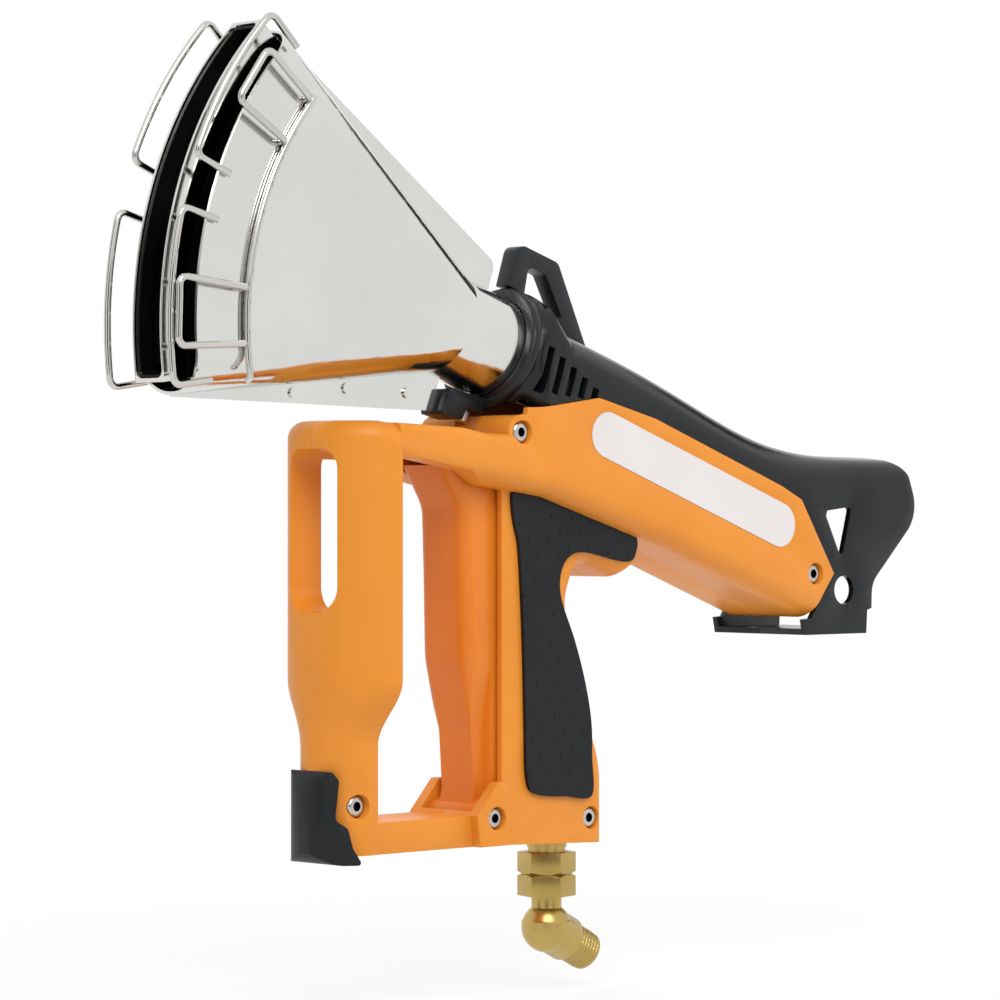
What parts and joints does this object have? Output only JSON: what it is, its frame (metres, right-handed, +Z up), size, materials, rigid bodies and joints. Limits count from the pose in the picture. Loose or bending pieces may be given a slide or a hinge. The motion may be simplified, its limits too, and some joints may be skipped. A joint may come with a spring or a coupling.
{
  "type": "hand-held gas heat gun for shrink film",
  "caption": "Hand-held gas shrink-wrap heat gun with a guarded trigger handle, a tail air housing and a turning fan nozzle with wire guards.",
  "frame": {"origin": "on the mid-plane at the back of the hand grip, where the palm bears", "axes": "+X to the tail, -X to the nozzle mouth, +Z up, +Y to the right half"},
  "size_m": [0.3821, 0.054, 0.3461],
  "materials": {
    "orange_casing": "satin",
    "orange_trigger": "satin",
    "black_housing": "matte",
    "rubber": "matte",
    "chromed_steel": "polished",
    "dark_steel": "matte",
    "brass": "satin",
    "copper": "satin",
    "plate_alloy": "satin",
    "screw_steel": "satin"
  },
  "bodies": {
    "handle": {"left_casing": "orange_casing", "right_casing": "orange_casing", "casing_screws": "screw_steel", "label_plate": "plate_alloy", "left_grip_pad": "rubber", "right_grip_pad": "rubber", "foot_bumper": "rubber", "gas_valve": "brass", "piezo_igniter": "black_housing", "inlet_nipple": "brass", "inlet_washers": "brass", "union_nut": "brass", "left_housing": "black_housing", "right_housing": "black_housing", "collar_ring": "dark_steel", "hanging_hook": "black_housing", "nozzle_latch": "black_housing", "venturi_tube": "chromed_steel", "injector": "brass", "gas_pipe": "copper"},
    "trigger": {"trigger": "orange_trigger"},
    "valve_plunger": {"valve_plunger": "brass"},
    "igniter_striker": {"igniter_striker": "black_housing"},
    "latch_pin": {"latch_pin": "chromed_steel"},
    "hose_elbow": {"hose_elbow": "brass"},
    "nozzle": {"left_nozzle_shell": "chromed_steel", "right_nozzle_shell": "chromed_steel", "flame_duct": "dark_steel", "rim_band": "chromed_steel", "flame_grid": "chromed_steel", "upper_left_guard": "chromed_steel", "lower_left_guard": "chromed_steel", "upper_right_guard": "chromed_steel", "lower_right_guard": "chromed_steel", "left_arc_wire": "chromed_steel", "right_arc_wire": "chromed_steel", "flange_rivets": "chromed_steel"}
  },
  "joints": [
    {"name": "trigger_pull", "type": "hinge", "parent": "handle", "child": "trigger", "pos_m": [-0.042, 0, -0.056], "axis": [0, 1, 0], "range_deg": [0, 5], "stiffness_Nm_per_rad": 4, "springref_deg": -2.86},
    {"name": "valve_stroke", "type": "slide", "parent": "handle", "child": "valve_plunger", "axis": [1, 0, 0], "range_m": [0, 0.0031]},
    {"name": "striker_stroke", "type": "slide", "parent": "handle", "child": "igniter_striker", "axis": [1, 0, 0], "range_m": [0, 0.007]},
    {"name": "nozzle_swivel", "type": "hinge", "parent": "handle", "child": "nozzle", "pos_m": [-0.022, 0, 0.1133], "axis": [-0.9455, 0, 0.3256], "range_deg": [-90, 90]},
    {"name": "latch_pull", "type": "slide", "parent": "handle", "child": "latch_pin", "axis": [-0.3256, 0, -0.9455], "range_m": [0, 0.0025], "stiffness_N_per_m": 400, "springref_m": -0.002},
    {"name": "elbow_swivel", "type": "hinge", "parent": "handle", "child": "hose_elbow", "pos_m": [0.0008, 0, -0.1], "axis": [0, 0, 1], "continuous": true}
  ],
  "couplings": [
    {"joint": "valve_stroke", "follows": "trigger_pull", "m_per_rad": 0.0345},
    {"joint": "striker_stroke", "follows": "trigger_pull", "m_per_rad": 0.0795}
  ]
}
